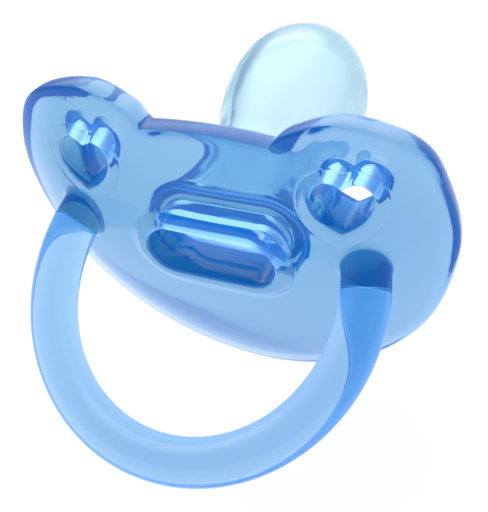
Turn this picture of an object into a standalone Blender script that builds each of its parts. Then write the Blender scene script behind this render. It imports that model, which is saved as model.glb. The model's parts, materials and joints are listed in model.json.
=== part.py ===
"""A moulded silicone pacifier with a ring handle, in metres, +Z up.

Everything is drawn in the shield's own axes: +X to the right as the ring side is seen, +Y back towards the
nipple and +Z up to the ears. An empty then leans the whole pacifier forward, so that it stands on the front
of its ring and on the lower edge of its shield. The floor is at Z = 0, below the middle of its bounding box.
"""

import math

import bmesh
import bpy
import numpy as np
from mathutils import Matrix, Vector

MM = 0.001
CLEARANCE = 0.3 * MM

# Shield: a plate like a bear's head, bowed back towards the face. Its edge is crisp in front. Behind, it is
# rounded off, tightly below LOWER_TOP and widely above UPPER_BOTTOM, at the ears and the brow.
SHIELD_THICKNESS = 5.5 * MM
LOWER_ROUNDING = 1.9 * MM
UPPER_ROUNDING = 4.9 * MM
LOWER_TOP = -14.0 * MM
UPPER_BOTTOM = 4.0 * MM
FAN_CENTRE = Vector((0.0, -4.0 * MM))
FAN_STEPS = (0.3, 0.56, 0.72, 0.84, 0.92, 0.965, 0.988)
RIM_STEPS = (0.08, 0.9)
SIDE_POINTS = (
    (0.0, -24.0),
    (11.3, -19.9),
    (19.5, -11.4),
    (23.0, -0.2),
    (21.8, 7.6),
    (18.9, 11.6),
    (13.0, 13.5),
    (8.2, 12.3),
    (6.3, 10.8),
)
BROW_TOP = 11.2 * MM

# The bow of its face, in millimetres of depth for x and z in millimetres.
BOW_ACROSS = 0.0053
BOW_EARS = 1.18
EAR_REACH = 20.0
BOW_DOWN = 0.0126
BOW_TWIST = 0.0002
BOW_SLOPE = 0.043

# Vents and the mouth of the nipple, all straight through along Y.
VENT_OFFSET = 13.2 * MM
VENT_POINTS = (
    (0.0, 3.0),
    (1.53, 4.0),
    (2.4, 5.1),
    (2.8, 6.5),
    (2.35, 7.65),
    (1.2, 8.1),
    (0.0, 7.55),
)
MOUTH_HALF_WIDTH = 6.65 * MM
MOUTH_HALF_HEIGHT = 2.63 * MM
MOUTH_HEIGHT = -1.9 * MM
PAD_MARGIN = 1.9 * MM
PAD_DEPTH = 0.05 * MM

# Ring handle: an ellipse of round bar, tilted forward, that runs out of the shield's face at two roots.
BAR_RADIUS = 2.4 * MM
RING_HALF_WIDTH = 16.0 * MM
RING_HALF_DROP = 16.5 * MM
RING_CENTRE_DROP = 4.9 * MM
RING_TILT = math.radians(57.2)
ROOT_LINE = Vector((0.0, 1.4 * MM, -1.1 * MM))
ROOT_START_DROP = -2.5 * MM
HINGE_DROP = 3.7 * MM
RING_STEPS = 44
ROOT_STEPS = 6
BAR_SIDES = 14
BALL_ANGLES = tuple(math.radians(a) for a in (23, 46, 69))

# Nipple: a flat collar on the back of the shield, a neck that narrows to a waist, and a round bulb. Its
# middle line rises a little towards the tip. Distances are measured back from the middle of the face.
COLLAR_START = 6.15 * MM
COLLAR_END = 6.9 * MM
COLLAR_HALF_WIDTH = 7.8 * MM
COLLAR_HALF_HEIGHT = 3.7 * MM
NIPPLE_WALL = 1.3 * MM
NIPPLE_RISE = math.tan(math.radians(3.7))
NIPPLE_SECTIONS = (
    # distance back, half width, half height
    (8.4, 6.7, 3.95),
    (9.9, 5.9, 4.4),
    (11.6, 5.4, 5.0),
    (13.4, 5.4, 5.2),
    (15.6, 6.0, 6.0),
    (18.4, 6.95, 6.95),
    (21.0, 7.5, 7.5),
    (23.5, 7.72, 7.72),
    (26.0, 7.5, 7.5),
    (28.4, 6.7, 6.7),
    (30.6, 5.4, 5.4),
    (32.1, 3.9, 3.9),
    (33.0, 2.1, 2.1),
)
NIPPLE_TIP = 33.35 * MM
NECK_LENGTH = 5.0 * MM
NECK_SQUARENESS = 2.6
ROUND_SQUARENESS = 2.0
INNER_SHIFT = 0.3
NIPPLE_SIDES = 36
NIPPLE_HINGE_DEPTH = 7.75 * MM


def clear_scene():
    for obj in list(bpy.data.objects):
        bpy.data.objects.remove(obj)


def silicone(name, colour, opacity):
    material = bpy.data.materials.new(name)
    material.use_nodes = True
    shader = material.node_tree.nodes["Principled BSDF"]
    shader.inputs["Base Color"].default_value = (*colour, 1.0)
    shader.inputs["Metallic"].default_value = 0.0
    shader.inputs["Roughness"].default_value = 0.12
    shader.inputs["Alpha"].default_value = opacity
    material.diffuse_color = (*colour, opacity)
    return material


def mesh_object(name, mesh, material):
    bm = bmesh.new()
    bm.from_mesh(mesh)
    bmesh.ops.recalc_face_normals(bm, faces=bm.faces)
    bm.to_mesh(mesh)
    bm.free()
    mesh.shade_smooth()
    mesh.set_sharp_from_angle(angle=math.radians(40))
    obj = bpy.data.objects.new(name, mesh)
    bpy.context.collection.objects.link(obj)
    if material is not None:
        mesh.materials.append(material)
    return obj


def make_cutter(obj):
    obj.hide_render = True
    obj.display_type = "WIRE"
    return obj


def cut(obj, cutter):
    modifier = obj.modifiers.new(cutter.name, "BOOLEAN")
    modifier.operation = "DIFFERENCE"
    modifier.solver = "EXACT"
    modifier.object = cutter


def smooth_curve(points, steps, start_slope=None):
    """Points on a Catmull-Rom curve through the given ones, both ends kept."""
    knots = [Vector(p) for p in points]
    slopes = [(knots[min(i + 1, len(knots) - 1)] - knots[max(i - 1, 0)]) / 2 for i in range(len(knots))]
    if start_slope is not None:
        slopes[0] = Vector(start_slope).normalized() * (knots[1] - knots[0]).length
    curve = [knots[0]]
    for a, b, slope_a, slope_b in zip(knots, knots[1:], slopes, slopes[1:]):
        for i in range(1, steps + 1):
            t = i / steps
            ease = t * t * (3 - 2 * t)
            curve.append(
                a * (1 - ease) + b * ease + slope_a * t * (1 - t) ** 2 - slope_b * t * t * (1 - t)
            )
    return curve


def mirrored(half):
    """A closed outline from a half that starts and ends on the middle line."""
    return half + [Vector((-p.x, p.y)) for p in reversed(half[1:-1])]


def shield_outline():
    side = smooth_curve([Vector(p) * MM for p in SIDE_POINTS], 4, start_slope=(1.0, 0.0))
    notch = side[-1]
    brow = [
        Vector((notch.x * (1 - t), BROW_TOP - (BROW_TOP - notch.y) * (1 - t) ** 2))
        for t in (0.25, 0.5, 0.75, 1.0)
    ]
    return mirrored(side + brow)


def heart_outline(middle):
    half = smooth_curve([Vector(p) * MM for p in VENT_POINTS], 3)
    return [p + Vector((middle, 0.0)) for p in mirrored(half)]


def stadium_outline(half_width, half_height, height, steps=8):
    """A slot with round ends, as a closed outline in X and Z."""
    outline = []
    for end in (1, -1):
        for i in range(steps + 1):
            angle = math.pi * (i / steps - 0.5) + (0.0 if end == 1 else math.pi)
            outline.append(
                Vector(
                    (
                        end * (half_width - half_height) + half_height * math.cos(angle),
                        height + half_height * math.sin(angle),
                    )
                )
            )
    return outline


def face_depth(x, z):
    """How far back the shield's face is at a point: it bows back at its sides, top and bottom."""
    x, z = x / MM, z / MM
    across = BOW_ACROSS * x**2 + BOW_EARS * (x / EAR_REACH) ** 4
    return (across + BOW_DOWN * z**2 - BOW_TWIST * x**2 * z + BOW_SLOPE * z) * MM


def plate_thickness(inset, height):
    """Full thickness in the middle, with a quarter round on the back at the rim."""
    share = min(1.0, max(0.0, (height - LOWER_TOP) / (UPPER_BOTTOM - LOWER_TOP)))
    rounding = LOWER_ROUNDING + (UPPER_ROUNDING - LOWER_ROUNDING) * share * share * (3.0 - 2.0 * share)
    outward = max(0.0, 1.0 - inset / rounding)
    return SHIELD_THICKNESS - rounding * (1.0 - math.sqrt(1.0 - outward**2))


def loop_mesh(name, loops, first_cap, last_cap):
    """A closed mesh from loops of the same number of points, each end closed by a point."""
    mesh = bpy.data.meshes.new(name)
    count = len(loops[0])
    points = [p for loop in loops for p in loop] + [first_cap, last_cap]
    faces = []
    for k in range(len(loops) - 1):
        for i in range(count):
            j = (i + 1) % count
            faces.append((k * count + i, k * count + j, (k + 1) * count + j, (k + 1) * count + i))
    start, end = len(points) - 2, len(points) - 1
    last = (len(loops) - 1) * count
    faces += [(start, (i + 1) % count, i) for i in range(count)]
    faces += [(end, last + i, last + (i + 1) % count) for i in range(count)]
    mesh.from_pydata(points, [], faces)
    return mesh


def plate_mesh(name, moved_forward=0.0):
    outline = shield_outline()
    front, back = [], []
    for share in FAN_STEPS:
        flat = [FAN_CENTRE + (p - FAN_CENTRE) * share for p in outline]
        insets = [(p - q).length for p, q in zip(outline, flat)]
        front.append([Vector((p.x, face_depth(p.x, p.y), p.y)) for p in flat])
        depths = [face_depth(p.x, p.y) + plate_thickness(s, p.y) for p, s in zip(flat, insets)]
        back.append([Vector((p.x, depth, p.y)) for p, depth in zip(flat, depths)])
    rim = [
        [Vector((p.x, face_depth(p.x, p.y) + depth * plate_thickness(0.0, p.y), p.y)) for p in outline]
        for depth in RIM_STEPS
    ]
    loops = front + rim + back[::-1]
    centre = FAN_CENTRE
    depth = face_depth(centre.x, centre.y)
    ends = (
        Vector((centre.x, depth, centre.y)),
        Vector((centre.x, depth + SHIELD_THICKNESS, centre.y)),
    )
    mesh = loop_mesh(name, loops, *ends)
    mesh.transform(Matrix.Translation((0.0, -moved_forward, 0.0)))
    return mesh


def prism(name, outline, front, back):
    """A straight bar along Y with the given outline in X and Z."""
    loops = [[Vector((p.x, y, p.y)) for p in outline] for y in (front, back)]
    middle = sum(outline, Vector((0.0, 0.0))) / len(outline)
    ends = [Vector((middle.x, y, middle.y)) for y in (front, back)]
    return loop_mesh(name, loops, *ends)


def make_shield(material):
    shield = mesh_object("shield", plate_mesh("shield"), material)
    reach = 20 * MM
    mouth = stadium_outline(MOUTH_HALF_WIDTH, MOUTH_HALF_HEIGHT, MOUTH_HEIGHT)
    pad_size = (MOUTH_HALF_WIDTH + PAD_MARGIN, MOUTH_HALF_HEIGHT + PAD_MARGIN)
    pad = stadium_outline(*pad_size, MOUTH_HEIGHT)
    openings = {
        "mouth_cutter": prism("mouth_cutter", mouth, -reach, reach),
        "vent_cutter_left": prism("vent_cutter_left", heart_outline(-VENT_OFFSET), -reach, reach),
        "vent_cutter_right": prism("vent_cutter_right", heart_outline(VENT_OFFSET), -reach, reach),
        "pad_cutter": prism("pad_cutter", pad, -reach, pad_plane()),
    }
    for name, mesh in openings.items():
        cut(shield, make_cutter(mesh_object(name, mesh, None)))
    return shield


def pad_plane():
    """The depth of the flat pad above and below the nipple's mouth, just under the bowed face."""
    lower_edge = MOUTH_HEIGHT - MOUTH_HALF_HEIGHT - PAD_MARGIN
    return face_depth(0.0, lower_edge) + PAD_DEPTH


def ring_point(angle, extra_drop=0.0):
    """A point on the ring's middle line, at an angle from the right over the bottom to the left."""
    across = RING_HALF_WIDTH * math.cos(angle)
    drop = RING_CENTRE_DROP + RING_HALF_DROP * math.sin(angle) + extra_drop
    return ROOT_LINE + Vector((across, -drop * math.sin(RING_TILT), -drop * math.cos(RING_TILT)))


def ring_angle(drop):
    """The angle at which the right side of the ring is this far below the root line."""
    return math.asin((drop - RING_CENTRE_DROP) / RING_HALF_DROP)


def hinge_point():
    """The middle between the two points where the ring flexes."""
    point = ring_point(ring_angle(HINGE_DROP))
    return Vector((0.0, point.y, point.z))


def bar_loops(path, radii):
    """Round sections square to a path, one for each point of it."""
    loops = []
    side = Vector((0.0, -math.cos(RING_TILT), math.sin(RING_TILT)))
    for k, (point, radius) in enumerate(zip(path, radii)):
        along = (path[min(k + 1, len(path) - 1)] - path[max(k - 1, 0)]).normalized()
        other = along.cross(side).normalized()
        angles = [2 * math.pi * i / BAR_SIDES for i in range(BAR_SIDES)]
        loops.append([point + (side * math.cos(a) + other * math.sin(a)) * radius for a in angles])
    return loops


def ball_end(centre, outward):
    """Points and radii along a bar's rounded end, from the bar outwards, and the end's tip."""
    path = [centre + outward * BAR_RADIUS * math.sin(a) for a in BALL_ANGLES]
    radii = [BAR_RADIUS * math.cos(a) for a in BALL_ANGLES]
    return path, radii, centre + outward * BAR_RADIUS


def make_ring(material):
    """The ring, with a ball at each end that turns in the cup of its root."""
    start = ring_angle(HINGE_DROP)
    path = [ring_point(start + (math.pi - 2 * start) * i / RING_STEPS) for i in range(RING_STEPS + 1)]
    right_path, right_radii, right_tip = ball_end(path[0], (path[0] - path[1]).normalized())
    left_path, left_radii, left_tip = ball_end(path[-1], (path[-1] - path[-2]).normalized())
    radii = right_radii[::-1] + [BAR_RADIUS] * len(path) + left_radii
    loops = bar_loops(right_path[::-1] + path + left_path, radii)
    return mesh_object("ring_handle", loop_mesh("ring_handle", loops, right_tip, left_tip), material)


def make_root(side, material):
    """A stub of bar from the shield's face to the hinge, with a cup for the ring's ball."""
    name = "handle_root_right" if side == 1 else "handle_root_left"
    start, end = ring_angle(ROOT_START_DROP), ring_angle(HINGE_DROP)
    path = [ring_point(start + (end - start) * i / ROOT_STEPS) for i in range(ROOT_STEPS + 1)]
    path = [Vector((side * p.x, p.y, p.z)) for p in path]
    loops = bar_loops(path, [BAR_RADIUS] * len(path))
    root = mesh_object(name, loop_mesh(name, loops, path[0], path[-1]), material)
    face = plate_mesh(f"{name}_face_cutter", CLEARANCE)
    cut(root, make_cutter(mesh_object(face.name, face, None)))
    ball = bpy.data.meshes.new(f"{name}_ball_cutter")
    bm = bmesh.new()
    bmesh.ops.create_uvsphere(bm, u_segments=20, v_segments=12, radius=BAR_RADIUS + CLEARANCE)
    bm.to_mesh(ball)
    bm.free()
    ball.transform(Matrix.Translation(path[-1]))
    cut(root, make_cutter(mesh_object(ball.name, ball, None)))
    return root


def oval(half_width, half_height, height, depth, squareness):
    """A section of the nipple. A squareness of 2 makes it an ellipse, and more makes it squarer."""
    loop = []
    for i in range(NIPPLE_SIDES):
        angle = 2 * math.pi * i / NIPPLE_SIDES
        c, s = math.cos(angle), math.sin(angle)
        x = half_width * math.copysign(abs(c) ** (2 / squareness), c)
        z = half_height * math.copysign(abs(s) ** (2 / squareness), s)
        loop.append(Vector((x, depth, height + z)))
    return loop


def make_collar(material):
    """The flat oval root of the nipple, a ring around the mouth on the back of the shield."""
    outer = stadium_outline(COLLAR_HALF_WIDTH, COLLAR_HALF_HEIGHT, MOUTH_HEIGHT)
    inner = stadium_outline(MOUTH_HALF_WIDTH, MOUTH_HALF_HEIGHT, MOUTH_HEIGHT)
    mesh = prism("nipple_collar", outer, COLLAR_START, COLLAR_END)
    collar = mesh_object("nipple_collar", mesh, material)
    bore = prism("collar_bore", inner, 0.0, 2 * COLLAR_END)
    cut(collar, make_cutter(mesh_object("collar_bore", bore, None)))
    return collar


def nipple_height(depth):
    """The height of the nipple's middle line, which rises from the mouth's middle."""
    return MOUTH_HEIGHT + NIPPLE_RISE * depth


def make_nipple(material):
    """A hollow shell, open at the collar: an outer skin, an inner skin and a rim that joins them."""
    open_end = NIPPLE_SECTIONS[0][0] * MM
    outer, inner = [], []
    for back, half_width, half_height in NIPPLE_SECTIONS:
        depth = back * MM
        roundness = min(1.0, (depth - open_end) / NECK_LENGTH)
        squareness = NECK_SQUARENESS + (ROUND_SQUARENESS - NECK_SQUARENESS) * roundness
        height = nipple_height(depth)
        outer.append(oval(half_width * MM, half_height * MM, height, depth, squareness))
        inner_depth = max(open_end, depth - NIPPLE_WALL * INNER_SHIFT)
        inner_size = (half_width * MM - NIPPLE_WALL, half_height * MM - NIPPLE_WALL)
        inner.append(oval(*inner_size, height, inner_depth, squareness))
    inner_tip = NIPPLE_TIP - NIPPLE_WALL
    first = Vector((0.0, inner_tip, nipple_height(inner_tip)))
    last = Vector((0.0, NIPPLE_TIP, nipple_height(NIPPLE_TIP)))
    return mesh_object("nipple", loop_mesh("nipple", inner[::-1] + outer, first, last), material)


def empty_at(name, place, parent=None):
    empty = bpy.data.objects.new(name, None)
    bpy.context.collection.objects.link(empty)
    empty.location = place
    empty.parent = parent
    return empty


def hang(obj, empty):
    """Parents a moving piece to the empty on its joint's axis, without moving it."""
    obj.data.transform(Matrix.Translation(-empty.location))
    obj.parent = empty


def lowest(points, lean):
    """The lowest height that points reach once they lean forward by an angle."""
    return min(points[:, 1] * math.sin(lean) + points[:, 2] * math.cos(lean))


def vertices(obj):
    return np.array([tuple(v.co) for v in obj.data.vertices])


def standing_lean(shield, ring):
    """The lean at which the ring's front and the shield's lower edge stand on the same floor."""
    shield_points, ring_points = vertices(shield), vertices(ring)
    low, high = 0.0, math.radians(45)
    for _ in range(40):
        lean = (low + high) / 2
        if lowest(ring_points, lean) > lowest(shield_points, lean):
            low = lean
        else:
            high = lean
    return lean


def main():
    clear_scene()
    blue = silicone("blue_silicone", (0.13, 0.42, 0.85), 0.75)
    pale = silicone("pale_silicone", (0.62, 0.85, 0.97), 0.45)
    shield = make_shield(blue)
    ring = make_ring(blue)
    for side in (-1, 1):
        make_root(side, blue)
    collar = make_collar(blue)
    nipple = make_nipple(pale)

    lean = standing_lean(shield, ring)
    everything = np.vstack([vertices(obj) for obj in (shield, ring, collar, nipple)])
    across = everything[:, 1] * math.cos(lean) - everything[:, 2] * math.sin(lean)
    floor = lowest(everything, lean)
    frame = empty_at("pacifier", (0.0, -(across.min() + across.max()) / 2, -floor))
    frame.rotation_euler = (lean, 0.0, 0.0)

    handle_hinge = empty_at("handle_hinge", hinge_point(), frame)
    nipple_hinge = empty_at("nipple_hinge", (0.0, NIPPLE_HINGE_DEPTH, MOUTH_HEIGHT), frame)
    hang(ring, handle_hinge)
    hang(nipple, nipple_hinge)
    for obj in bpy.data.objects:
        if obj.parent is None and obj is not frame:
            obj.parent = frame


main()
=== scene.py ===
"""The looks of a moulded silicone pacifier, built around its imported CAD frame.

The shield, its handle and the nipple's collar are one clear blue moulding, and the hollow nipple is
a second, paler one. Both are drawn in millimetres in the shield's own axes: +X to the right as the ring
side is seen, +Y back towards the nipple and +Z up to the ears. The frame's record says where those axes
stand.
"""

import json
import math

import bmesh
import bpy
import numpy as np
from mathutils import Matrix, Vector


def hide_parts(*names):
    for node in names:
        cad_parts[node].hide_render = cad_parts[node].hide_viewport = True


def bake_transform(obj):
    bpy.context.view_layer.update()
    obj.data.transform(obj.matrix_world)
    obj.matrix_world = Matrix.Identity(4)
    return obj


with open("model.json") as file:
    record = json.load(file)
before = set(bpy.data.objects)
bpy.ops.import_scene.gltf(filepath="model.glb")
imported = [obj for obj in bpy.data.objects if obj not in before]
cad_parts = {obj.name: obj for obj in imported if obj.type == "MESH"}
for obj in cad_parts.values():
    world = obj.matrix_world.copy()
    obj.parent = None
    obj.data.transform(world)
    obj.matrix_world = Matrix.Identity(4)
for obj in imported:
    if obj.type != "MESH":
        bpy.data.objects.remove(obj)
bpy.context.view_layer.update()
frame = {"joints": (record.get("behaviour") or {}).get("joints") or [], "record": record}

MM = 0.001

# Shield, in millimetres. Its plate is thinner below LOWER_TOP than above UPPER_BOTTOM.
SHIELD_THICKNESS = 5.5
LOWER_THINNING = 1.0
LOWER_TOP = -14.0
UPPER_BOTTOM = 4.0
SIDE_POINTS = (
    (0.0, -24.0),
    (11.3, -19.9),
    (19.5, -11.4),
    (23.0, -0.2),
    (21.8, 7.6),
    (18.9, 11.6),
    (13.0, 13.5),
    (8.2, 12.3),
    (6.3, 10.8),
)
BROW_TOP = 11.2
OUTLINE_STEPS = 12

# The bow of its face: millimetres of depth for x and z in millimetres.
BOW_ACROSS = 0.0053
BOW_EARS = 1.18
EAR_REACH = 20.0
BOW_DOWN = 0.0126
BOW_TWIST = 0.0002
BOW_SLOPE = 0.043

# Vents and the mouth of the nipple, straight through along Y, and the fine mould lines around them.
VENT_OFFSET = 13.2
VENT_POINTS = ((0.0, 3.0), (1.53, 4.0), (2.4, 5.1), (2.8, 6.5), (2.35, 7.65), (1.2, 8.1), (0.0, 7.55))
MOUTH_HALF_WIDTH = 6.65
MOUTH_HALF_HEIGHT = 2.63
MOUTH_HEIGHT = -1.9
MOUTH_LINE_MARGIN = 1.9
VENT_LINE_MARGIN = 1.5
LINE_DEPTH = 0.06
LINE_HALF_WIDTH = 0.07
LINE_MESH_REACHES = (0.42, 0.25)
FACE_MESH_REACH = 0.3

# Handle: an ellipse of round bar, tilted forward, whose two roots end inside the shield.
BAR_RADIUS = 2.4
RING_HALF_WIDTH = 16.0
RING_HALF_DROP = 16.5
RING_CENTRE_DROP = 4.9
RING_TILT = math.radians(57.2)
ROOT_LINE = (0.0, 1.4, -1.1)
ROOT_START_DROP = -2.5

# Nipple and its collar. A section is its distance behind the middle of the face, half width and half height.
COLLAR_END = 6.9
COLLAR_HALF_WIDTH = 7.8
COLLAR_HALF_HEIGHT = 3.7
NIPPLE_RISE = math.tan(math.radians(3.7))
NIPPLE_SECTIONS = (
    (6.93, 7.78, 3.68),
    (7.4, 7.5, 3.7),
    (8.4, 6.7, 3.95),
    (9.9, 5.9, 4.4),
    (11.6, 5.4, 5.0),
    (13.4, 5.4, 5.2),
    (15.6, 6.0, 6.0),
    (18.4, 6.95, 6.95),
    (21.0, 7.5, 7.5),
    (23.5, 7.72, 7.72),
    (26.0, 7.5, 7.5),
    (28.4, 6.7, 6.7),
    (30.6, 5.4, 5.4),
    (32.1, 3.9, 3.9),
    (33.0, 2.1, 2.1),
    (33.35, 0.0, 0.0),
)
TIP_SLOPE = (0, -0.7, -0.7)
ROOT_WALL = 1.08
NIPPLE_WALL = 1.3
WALL_GROWTH = 3.0
NECK_LENGTH = 5.0
SMALLEST_INNER_RADIUS = 0.15
NIPPLE_SIDES = 96
NIPPLE_STEPS = 6
NIPPLE_HINGE_DEPTH = 7.75

# Edge radii and fillets of the moulding.
FRONT_EDGE = 0.35
UPPER_BACK_EDGE = 4.8
LOWER_BACK_EDGE = 1.9
OPENING_EDGE = 0.35
OPENING_BACK_EDGE = 1.0
OPENING_EDGE_START = 1.5
OPENING_EDGE_CHANGE = 2.5
COLLAR_EDGE = 0.1
COLLAR_FILLET = 1.4
ROOT_FILLET = 0.5

# The moulding's meshing grid, the step for measuring slopes, and the least that a squared slope counts.
GRID_STEP = 0.28
GRID_LOW = (-24.0, -20.6, -25.0)
GRID_HIGH = (24.0, 14.0, 14.6)
PROBE = 0.01
LEAST_SQUARED_SLOPE = 0.1

# Silicone: the colour and strength of its absorption per metre, its painted inner glow, which is painted
# light, and the range of its gloss.
SILICONE_IOR = 1.41
BLUE_ABSORPTION = (0.03, 0.35, 0.29)
BLUE_DENSITY = 270.0
BLUE_PAINTED_GLOW = (0.0, 0.073, 0.34)
BLUE_ROUGHNESS = (0.03, 0.07)
PALE_ABSORPTION = (0.0, 0.58, 0.8)
PALE_DENSITY = 205.0
PALE_PAINTED_GLOW = (0.0, 0.003, 0.006)
PALE_ROUGHNESS = (0.08, 0.14)
RIPPLE_HEIGHT = 0.00001
RIPPLE_SCALE = 160.0
HAZE_SCALE = 420.0

# Studio: its white, and each panel's direction, the cosines at its edge and core, and its shade.
STUDIO_WHITE = (1.02, 1.02, 1.02)
STUDIO_PANELS = (
    ((0.15, -0.9, 0.43), 0.35, 0.8, (0.25, 0.36, 0.55)),
    ((1.0, 0.1, 0.1), 0.45, 0.8, (0.5, 0.52, 0.62)),
    ((-1.0, 0.1, 0.1), 0.45, 0.8, (0.5, 0.52, 0.62)),
    ((-0.36, 0.34, 0.87), 0.68, 0.93, (2.5, 2.5, 2.5)),
)

# Floor, in metres: how far it reaches, and how its glow, painted light that is brighter on its left, falls
# off from left to right.
FLOOR_REACH = 2.0
FLOOR_SHADE = 0.06
PAINTED_SPILL_LEFT = -0.035
PAINTED_SPILL_RIGHT = 0.02
PAINTED_LIGHT_LEFT = 1.12
PAINTED_LIGHT_RIGHT = 0.95

# Camera, in metres and degrees.
CAMERA_PLACE = (0.038459, -0.089174, 0.060193)
CAMERA_AZIMUTH = 23.43
CAMERA_ELEVATION = 25.02
CAMERA_ROLL = 1.22
CAMERA_LENS = 71.5


# Curves and distances

def smooth_curve(points, steps, start_slope=None, end_slope=None):
    """Points on a Catmull-Rom curve from the first to the last one given, whose end slopes can be set."""
    knots = np.array(points, float)
    slopes = np.gradient(knots, axis=0)
    if start_slope is not None:
        slopes[0] = np.array(start_slope) * np.linalg.norm(knots[1] - knots[0])
    if end_slope is not None:
        slopes[-1] = np.array(end_slope) * np.linalg.norm(knots[-1] - knots[-2])
    curve = [knots[0]]
    for a, b, slope_a, slope_b in zip(knots, knots[1:], slopes, slopes[1:]):
        for i in range(1, steps + 1):
            t = i / steps
            ease = t * t * (3 - 2 * t)
            curve.append(a * (1 - ease) + b * ease + slope_a * t * (1 - t) ** 2 - slope_b * t * t * (1 - t))
    return np.array(curve)


def mirrored(half):
    """A closed outline from a half that starts and ends on the middle line."""
    return np.vstack([half, half[-2:0:-1] * (-1, 1)])


def shield_outline():
    side = smooth_curve(SIDE_POINTS, OUTLINE_STEPS, start_slope=(1.0, 0.0))
    notch_x, notch_z = SIDE_POINTS[-1]
    shares = np.linspace(0, 1, OUTLINE_STEPS + 1)[1:]
    brow = np.stack([notch_x * (1 - shares), BROW_TOP - (BROW_TOP - notch_z) * (1 - shares) ** 2], 1)
    return mirrored(np.vstack([side, brow]))


SHIELD_OUTLINE = shield_outline()
HEART_OUTLINE = mirrored(smooth_curve(VENT_POINTS, OUTLINE_STEPS))


def outline_distance(x, z, outline):
    """Distance from points to a closed outline, negative inside."""
    x, z = np.broadcast_arrays(x, z)
    nearest = np.full(x.shape, np.inf)
    inside = np.zeros(x.shape, bool)
    for (ax, az), (bx, bz) in zip(outline, np.roll(outline, -1, axis=0)):
        run, rise = bx - ax, bz - az
        along = np.clip(((x - ax) * run + (z - az) * rise) / (run * run + rise * rise), 0, 1)
        nearest = np.minimum(nearest, (x - ax - along * run) ** 2 + (z - az - along * rise) ** 2)
        if rise != 0:
            inside ^= ((az > z) != (bz > z)) & (x < ax + (z - az) * run / rise)
    return np.where(inside, -1, 1) * np.sqrt(nearest)


def stadium_distance(x, z, half_width, half_height, height):
    """Distance to a slot with round ends, negative inside."""
    straight = half_width - half_height
    return np.hypot(x - np.clip(x, -straight, straight), z - height) - half_height


def heart_distance(x, z):
    """Distance to the nearer of the two heart vents."""
    return outline_distance(np.abs(x) - VENT_OFFSET, z, HEART_OUTLINE)


def overlap(a, b, radius):
    """What two shapes share, with the edge between them rounded."""
    corner = np.hypot(np.maximum(a + radius, 0), np.maximum(b + radius, 0))
    return np.minimum(-radius, np.maximum(a, b)) + corner


def union(a, b, radius):
    """Two shapes together, with a fillet between them."""
    return -overlap(-a, -b, radius)


# Shape of the blue moulding

def mould_lines(x, z):
    """Distance to the fine lines that the mould's inserts leave around the mouth and the vents."""
    mouth = stadium_distance(x, z, MOUTH_HALF_WIDTH, MOUTH_HALF_HEIGHT, MOUTH_HEIGHT) - MOUTH_LINE_MARGIN
    hearts = heart_distance(x, z) - VENT_LINE_MARGIN
    return np.minimum(np.abs(mouth), np.abs(hearts))


def face_depth(x, z):
    """How far back the shield's face is, and the steepness of the face there."""
    across = BOW_ACROSS * x**2 + BOW_EARS * (x / EAR_REACH) ** 4
    depth = across + BOW_DOWN * z**2 - BOW_TWIST * x**2 * z + BOW_SLOPE * z
    slope_x = 2 * BOW_ACROSS * x + 4 * BOW_EARS * x**3 / EAR_REACH**4 - 2 * BOW_TWIST * x * z
    slope_z = 2 * BOW_DOWN * z - BOW_TWIST * x**2 + BOW_SLOPE
    return depth, np.hypot(slope_x, slope_z)


def plate(x, y, z):
    edge = outline_distance(x, z, SHIELD_OUTLINE)
    depth, steepness = face_depth(x, z)
    depth = depth + LINE_DEPTH * np.exp(-((mould_lines(x, z) / LINE_HALF_WIDTH) ** 2))
    upward = np.clip((z - LOWER_TOP) / (UPPER_BOTTOM - LOWER_TOP), 0, 1)
    upper_share = upward**2 * (3 - 2 * upward)
    thickness = SHIELD_THICKNESS - LOWER_THINNING * (1 - upper_share)
    front = (depth - y) / np.hypot(1, steepness)
    back = (y - depth - thickness) / np.hypot(1, steepness)
    back_edge = LOWER_BACK_EDGE + (UPPER_BACK_EDGE - LOWER_BACK_EDGE) * upper_share
    return overlap(overlap(back, edge, back_edge), front, FRONT_EDGE)


def collar(x, y, z):
    side = stadium_distance(x, z, COLLAR_HALF_WIDTH, COLLAR_HALF_HEIGHT, MOUTH_HEIGHT)
    return overlap(side, np.abs(y - COLLAR_END / 2) - COLLAR_END / 2, COLLAR_EDGE)


def bar(x, y, z):
    """The handle's bar, cut off inside the shield."""
    y, z = y - ROOT_LINE[1], z - ROOT_LINE[2]
    drop = -y * math.sin(RING_TILT) - z * math.cos(RING_TILT)
    off_plane = y * math.cos(RING_TILT) - z * math.sin(RING_TILT)
    from_centre = drop - RING_CENTRE_DROP
    reach = np.sqrt((x / RING_HALF_WIDTH) ** 2 + (from_centre / RING_HALF_DROP) ** 2)
    steepness = np.hypot(x / RING_HALF_WIDTH**2, from_centre / RING_HALF_DROP**2)
    off_line = (reach - 1) * reach / np.maximum(steepness, 1e-6)
    return np.maximum(np.hypot(off_line, off_plane) - BAR_RADIUS, ROOT_START_DROP - drop)


def moulding(x, y, z):
    """Distance to the surface of the shield, handle and collar in one, negative inside."""
    mouth = stadium_distance(x, z, MOUTH_HALF_WIDTH, MOUTH_HALF_HEIGHT, MOUTH_HEIGHT)
    body = union(plate(x, y, z), collar(x, y, z), COLLAR_FILLET)
    behind = np.clip((y - face_depth(x, z)[0] - OPENING_EDGE_START) / OPENING_EDGE_CHANGE, 0, 1)
    body = overlap(body, -mouth, OPENING_EDGE + (COLLAR_EDGE - OPENING_EDGE) * behind)
    vent_edge = OPENING_EDGE + (OPENING_BACK_EDGE - OPENING_EDGE) * behind
    body = overlap(body, -heart_distance(x, z), vent_edge)
    return union(body, bar(x, y, z), ROOT_FILLET)


# Meshes from distances

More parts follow.
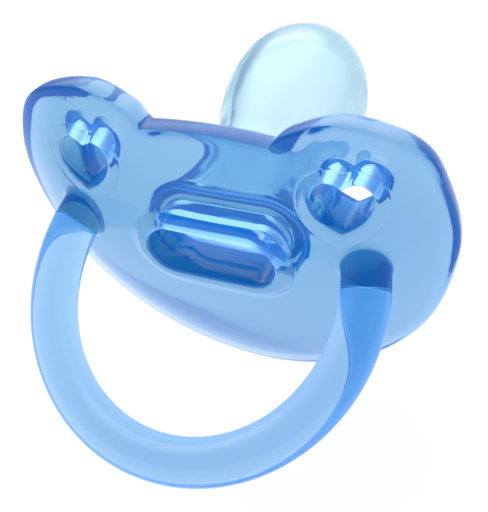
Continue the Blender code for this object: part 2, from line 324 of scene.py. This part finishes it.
def surface_net(field, low, step):
    """Points and quads on the zero surface of a field on a grid, one point in each cell that it crosses."""
    quads, crossings = [], []
    for axis in range(3):
        lower, upper = [slice(None)] * 3, [slice(None)] * 3
        lower[axis], upper[axis] = slice(0, -1), slice(1, None)
        first, second = field[tuple(lower)], field[tuple(upper)]
        edges = np.argwhere((first < 0) != (second < 0))
        at_first, at_second = first[tuple(edges.T)], second[tuple(edges.T)]
        crossing = edges.astype(float)
        crossing[:, axis] += at_first / (at_first - at_second)
        cells = []
        for move in ((0, 0), (-1, 0), (-1, -1), (0, -1)):
            cell = edges.copy()
            cell[:, (axis + 1) % 3] += move[0]
            cell[:, (axis + 2) % 3] += move[1]
            cells.append(np.ravel_multi_index(cell.T, field.shape))
        quad = np.stack(cells, 1)
        turned = at_first >= 0
        quad[turned] = quad[turned][:, ::-1]
        quads.append(quad)
        crossings.append(crossing)
    quads, crossings = np.vstack(quads), np.vstack(crossings)
    index = np.unique(quads, return_inverse=True)[1].reshape(quads.shape)
    count = np.bincount(index.ravel())
    sums = [np.bincount(index.ravel(), np.repeat(crossings[:, k], 4)) for k in range(3)]
    points = np.stack(sums, 1) / count[:, None]
    return np.array(low) + points * step, index


def gradient(shape, points):
    """The shape's distance at points and how it changes along each axis."""
    here = shape(*points.T)
    changes = []
    for axis in range(3):
        moved = points.copy()
        moved[:, axis] += PROBE
        changes.append((shape(*moved.T) - here) / PROBE)
    return here, np.stack(changes, 1)


def onto_surface(shape, points, rounds=2):
    for _ in range(rounds):
        here, change = gradient(shape, points)
        step = here[:, None] * change / np.maximum((change**2).sum(1), LEAST_SQUARED_SLOPE)[:, None]
        points = points - np.clip(step, -GRID_STEP, GRID_STEP)
    return points


def relaxed(shape, points, quads, rounds=3):
    """Points spread evenly along the surface."""
    edges = np.vstack([quads[:, [k, (k + 1) % 4]] for k in range(4)])
    count = np.bincount(edges[:, 0], minlength=len(points))[:, None]
    for _ in range(rounds):
        sums = np.stack([np.bincount(edges[:, 0], points[edges[:, 1], k], len(points)) for k in range(3)], 1)
        change = gradient(shape, points)[1]
        normal = change / np.linalg.norm(change, axis=1)[:, None]
        move = sums / count - points
        points = points + 0.5 * (move - normal * (move * normal).sum(1)[:, None])
        points = onto_surface(shape, points, 1)
    return points


def grid_field(shape):
    axes = [np.arange(a, b, GRID_STEP) for a, b in zip(GRID_LOW, GRID_HIGH)]
    x, y, z = axes[0][:, None, None], axes[1][None, :, None], axes[2][None, None, :]
    return shape(x, y, z)


def mesh_of(name, points, faces):
    mesh = bpy.data.meshes.new(name)
    mesh.from_pydata(points.tolist(), [], faces)
    mesh.update()
    return mesh


def refine_lines(mesh):
    """Splits the face's mesh near the mould lines, so that the lines are real grooves."""
    bm = bmesh.new()
    bm.from_mesh(mesh)
    for reach in LINE_MESH_REACHES:
        places = np.array([v.co for v in bm.verts])
        depth = face_depth(places[:, 0], places[:, 2])[0]
        on_face = np.abs(places[:, 1] - depth) < FACE_MESH_REACH
        near = on_face & (mould_lines(places[:, 0], places[:, 2]) < reach)
        bm.verts.index_update()
        chosen = [e for e in bm.edges if near[e.verts[0].index] and near[e.verts[1].index]]
        bmesh.ops.subdivide_edges(bm, edges=chosen, cuts=1, use_grid_fill=True)
    bm.to_mesh(mesh)
    bm.free()
    places = onto_surface(moulding, np.array([v.co for v in mesh.vertices]))
    mesh.vertices.foreach_set("co", places.ravel())


# Placing pieces

def shield_axes():
    """Where the shield's axes stand: leaning forward, with the nipple's hinge where the record has it."""
    front = frame["record"]["mounts"][0]["axis"]
    turn = Matrix.Rotation(math.atan2(-front[2], -front[1]), 4, "X")
    hinges = {joint["name"]: Vector(joint["pos_m"]) for joint in frame["joints"]}
    hinge = Vector((0, NIPPLE_HINGE_DEPTH, MOUTH_HEIGHT)) * MM
    return Matrix.Translation(hinges["nipple_flex"] - turn @ hinge) @ turn @ Matrix.Scale(MM, 4)


AXES = shield_axes()


def place(name, mesh, material):
    mesh.transform(AXES)
    mesh.shade_smooth()
    mesh.materials.append(material)
    piece = bpy.data.objects.new(name, mesh)
    bpy.context.scene.collection.objects.link(piece)
    return piece


# Materials

def clear_silicone(name, absorption, density, painted_glow, roughness):
    """Clear tinted silicone: a polished skin with faint flow ripples over a body that takes up light.

    A weak glow, painted light, stands in for the daylight that the silicone scatters inside itself.
    """
    material = bpy.data.materials.new(name)
    material.use_nodes = True
    nodes, links = material.node_tree.nodes, material.node_tree.links
    shader = nodes["Principled BSDF"]
    shader.inputs["Base Color"].default_value = (1.0, 1.0, 1.0, 1.0)
    shader.inputs["Transmission Weight"].default_value = 1.0
    shader.inputs["IOR"].default_value = SILICONE_IOR
    # Painted light: a weak emission stands in for the light that the silicone scatters inside itself.
    shader.inputs["Emission Color"].default_value = (*painted_glow, 1.0)
    shader.inputs["Emission Strength"].default_value = 1.0
    place_node = nodes.new("ShaderNodeTexCoord")
    ripples = nodes.new("ShaderNodeTexNoise")
    ripples.inputs["Scale"].default_value = RIPPLE_SCALE
    ripples.inputs["Detail"].default_value = 1.0
    links.new(place_node.outputs["Object"], ripples.inputs["Vector"])
    bump = nodes.new("ShaderNodeBump")
    bump.inputs["Strength"].default_value = 1.0
    bump.inputs["Distance"].default_value = RIPPLE_HEIGHT
    links.new(ripples.outputs["Fac"], bump.inputs["Height"])
    links.new(bump.outputs["Normal"], shader.inputs["Normal"])
    haze = nodes.new("ShaderNodeTexNoise")
    haze.inputs["Scale"].default_value = HAZE_SCALE
    haze.inputs["Detail"].default_value = 3.0
    links.new(place_node.outputs["Object"], haze.inputs["Vector"])
    spread = nodes.new("ShaderNodeMapRange")
    spread.inputs["From Min"].default_value = 0.3
    spread.inputs["From Max"].default_value = 0.7
    spread.inputs["To Min"].default_value = roughness[0]
    spread.inputs["To Max"].default_value = roughness[1]
    links.new(haze.outputs["Fac"], spread.inputs["Value"])
    links.new(spread.outputs["Result"], shader.inputs["Roughness"])
    body = nodes.new("ShaderNodeVolumeAbsorption")
    body.inputs["Color"].default_value = (*absorption, 1.0)
    body.inputs["Density"].default_value = density
    links.new(body.outputs["Volume"], nodes["Material Output"].inputs["Volume"])
    return material


def floor_material():
    """A white floor that glows softly, and a little more on its left side: a painted pool of light, like a
    lit studio floor.
    """
    material = bpy.data.materials.new("floor")
    material.use_nodes = True
    nodes, links = material.node_tree.nodes, material.node_tree.links
    shader = nodes["Principled BSDF"]
    shader.inputs["Base Color"].default_value = (FLOOR_SHADE, FLOOR_SHADE, FLOOR_SHADE, 1.0)
    shader.inputs["Roughness"].default_value = 0.9
    shader.inputs["Specular IOR Level"].default_value = 0.0
    shader.inputs["Emission Color"].default_value = (1.0, 1.0, 1.0, 1.0)
    place_node = nodes.new("ShaderNodeTexCoord")
    across = nodes.new("ShaderNodeSeparateXYZ")
    links.new(place_node.outputs["Object"], across.inputs["Vector"])
    # Painted light: the floor's emission is stronger on its left, a painted pool of light.
    painted_spill = nodes.new("ShaderNodeMapRange")
    painted_spill.interpolation_type = "SMOOTHSTEP"
    painted_spill.inputs["From Min"].default_value = PAINTED_SPILL_LEFT
    painted_spill.inputs["From Max"].default_value = PAINTED_SPILL_RIGHT
    painted_spill.inputs["To Min"].default_value = PAINTED_LIGHT_LEFT
    painted_spill.inputs["To Max"].default_value = PAINTED_LIGHT_RIGHT
    links.new(across.outputs["X"], painted_spill.inputs["Value"])
    links.new(painted_spill.outputs["Result"], shader.inputs["Emission Strength"])
    return material


# Pieces

def make_moulding(material):
    points, quads = surface_net(grid_field(moulding), GRID_LOW, GRID_STEP)
    points = relaxed(moulding, onto_surface(moulding, points), quads)
    mesh = mesh_of("shield_with_handle", points, quads.tolist())
    refine_lines(mesh)
    piece = place("shield_with_handle", mesh, material)
    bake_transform(piece)
    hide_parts("shield", "handle_root_left", "handle_root_right", "ring_handle", "nipple_collar")
    return piece


def nipple_loop(half_width, half_height, depth, roundness):
    """A section of the nipple: a slot with round ends at a roundness of 0, and an ellipse at 1."""
    turn = np.arange(NIPPLE_SIDES) * 4 / NIPPLE_SIDES
    c, s = np.cos(turn * math.pi / 2), np.sin(turn * math.pi / 2)
    straight = half_width - half_height
    arc = half_height * math.pi / 2
    travel = np.abs((turn + 1) % 2 - 1) * (arc + straight)
    angle = np.minimum(travel, arc) / half_height
    slot_x = np.sign(c) * (straight + half_height * np.cos(angle) - np.maximum(travel - arc, 0))
    slot_z = np.sign(s) * half_height * np.sin(angle)
    x = slot_x + (half_width * c - slot_x) * roundness
    z = slot_z + (half_height * s - slot_z) * roundness
    height = MOUTH_HEIGHT + NIPPLE_RISE * depth
    return np.stack([x, np.full(len(x), depth), z + height], 1)


def nipple_skins():
    """Depth, half width and half height along the outer skin, and along the inner one a wall further in."""
    outer = smooth_curve(NIPPLE_SECTIONS, NIPPLE_STEPS, end_slope=TIP_SLOPE)[:-1]
    travel = np.gradient(outer, axis=0)
    mean_travel = np.hypot(travel[:, 0], travel[:, 1:].mean(1))
    lean_back = -travel[:, 1:].mean(1) / mean_travel
    upright = travel[:, 0] / mean_travel
    grown = np.clip((outer[:, 0] - outer[0, 0]) / WALL_GROWTH, 0, 1)
    wall = ROOT_WALL + (NIPPLE_WALL - ROOT_WALL) * grown**2 * (3 - 2 * grown)
    inner = outer - np.stack([wall * lean_back * grown, wall * upright, wall * upright], 1)
    return outer, inner[(inner[:, 1:] > SMALLEST_INNER_RADIUS).all(1)]


def make_nipple(material):
    """A closed shell: the inner skin from its tip to the collar, the rim there, and the outer skin back."""
    outer, inner = nipple_skins()
    loops = []
    for depth, half_width, half_height in np.vstack([inner[::-1], outer]):
        roundness = min(1.0, max(0.0, (depth - outer[0, 0]) / NECK_LENGTH))
        loops.append(nipple_loop(half_width, half_height, depth, roundness))
    count = NIPPLE_SIDES
    faces = []
    for k in range(len(loops) - 1):
        for i in range(count):
            j = (i + 1) % count
            faces.append((k * count + i, k * count + j, (k + 1) * count + j, (k + 1) * count + i))
    points = np.vstack(loops + [loops[0].mean(0)[None], loops[-1].mean(0)[None]])
    inner_tip, outer_tip = len(points) - 2, len(points) - 1
    points[outer_tip, 1] = NIPPLE_SECTIONS[-1][0]
    last = (len(loops) - 1) * count
    faces += [(inner_tip, (i + 1) % count, i) for i in range(count)]
    faces += [(outer_tip, last + i, last + (i + 1) % count) for i in range(count)]
    mesh = mesh_of("nipple_shell", points, faces)
    bm = bmesh.new()
    bm.from_mesh(mesh)
    bmesh.ops.recalc_face_normals(bm, faces=bm.faces)
    bm.to_mesh(mesh)
    bm.free()
    piece = place("nipple_shell", mesh, material)
    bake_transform(piece)
    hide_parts("nipple")
    return piece


# Studio

def make_floor():
    mesh = bpy.data.meshes.new("floor")
    corners = [(x * FLOOR_REACH, y * FLOOR_REACH, 0) for x, y in ((-1, -1), (1, -1), (1, 1), (-1, 1))]
    mesh.from_pydata(corners, [], [(0, 1, 2, 3)])
    mesh.materials.append(floor_material())
    floor = bpy.data.objects.new("floor", mesh)
    bpy.context.scene.collection.objects.link(floor)


def make_world():
    """A white studio with a bright overhead softbox and darker stretches in front and on both sides."""
    world = bpy.data.worlds.new("studio")
    bpy.context.scene.world = world
    world.use_nodes = True
    nodes, links = world.node_tree.nodes, world.node_tree.links
    outlook = nodes.new("ShaderNodeTexCoord")
    colour = None
    for direction, edge, core, shade in STUDIO_PANELS:
        facing = nodes.new("ShaderNodeVectorMath")
        facing.operation = "DOT_PRODUCT"
        links.new(outlook.outputs["Generated"], facing.inputs[0])
        facing.inputs[1].default_value = Vector(direction).normalized()
        panel = nodes.new("ShaderNodeMapRange")
        panel.interpolation_type = "SMOOTHSTEP"
        panel.inputs["From Min"].default_value = edge
        panel.inputs["From Max"].default_value = core
        links.new(facing.outputs["Value"], panel.inputs["Value"])
        blend = nodes.new("ShaderNodeMix")
        blend.data_type = "RGBA"
        links.new(panel.outputs["Result"], blend.inputs["Factor"])
        blend.inputs["A"].default_value = (*STUDIO_WHITE, 1.0)
        if colour is not None:
            links.new(colour, blend.inputs["A"])
        blend.inputs["B"].default_value = (*shade, 1.0)
        colour = blend.outputs["Result"]
    links.new(colour, nodes["Background"].inputs["Color"])
    nodes["Background"].inputs["Strength"].default_value = 1.0


def make_camera():
    camera = bpy.data.cameras.new("camera")
    camera.sensor_width = 36.0
    camera.lens = CAMERA_LENS
    camera.clip_start = 0.005
    camera.clip_end = 20.0
    holder = bpy.data.objects.new("camera", camera)
    azimuth, elevation, roll = (
        math.radians(angle) for angle in (CAMERA_AZIMUTH, CAMERA_ELEVATION, CAMERA_ROLL)
    )
    turn = Matrix.Rotation(azimuth, 4, "Z") @ Matrix.Rotation(math.pi / 2 - elevation, 4, "X")
    holder.matrix_world = Matrix.Translation(CAMERA_PLACE) @ turn @ Matrix.Rotation(roll, 4, "Z")
    bpy.context.scene.collection.objects.link(holder)
    bpy.context.scene.camera = holder


blue = clear_silicone("blue_silicone", BLUE_ABSORPTION, BLUE_DENSITY, BLUE_PAINTED_GLOW, BLUE_ROUGHNESS)
pale = clear_silicone("pale_silicone", PALE_ABSORPTION, PALE_DENSITY, PALE_PAINTED_GLOW, PALE_ROUGHNESS)
make_moulding(blue)
make_nipple(pale)
make_floor()
make_world()
make_camera()
bpy.context.scene.view_settings.view_transform = "Standard"
cycles = bpy.context.scene.cycles
cycles.max_bounces = 32
cycles.glossy_bounces = 24
cycles.transmission_bounces = 32
